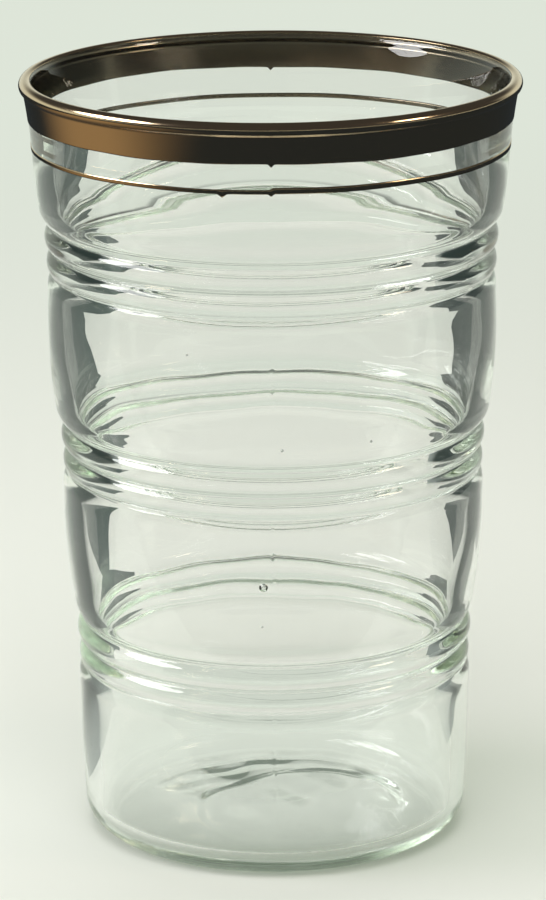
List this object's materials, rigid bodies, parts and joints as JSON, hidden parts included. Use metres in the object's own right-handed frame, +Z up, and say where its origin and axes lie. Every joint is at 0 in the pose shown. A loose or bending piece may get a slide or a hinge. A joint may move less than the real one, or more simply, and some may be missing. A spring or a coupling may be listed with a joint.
{
  "type": "tea glass",
  "caption": "Tapered glass tea tumbler with paired ribs round the wall, a plain foot, and a gold band and gold hairline at the lip.",
  "frame": {"origin": "centre of the foot ring, on the table", "axes": "+Z up along the axis of the glass; -Y faces the camera, through the front mould seam"},
  "size_m": [0.0702, 0.0702, 0.1091],
  "materials": {
    "glass": "clear, faintly green",
    "gold": "polished gold lustre, a little worn"
  },
  "bodies": {
    "root": {"glass_body": "glass", "rim_band": "gold", "hairline_ring": "gold"}
  },
  "joints": []
}
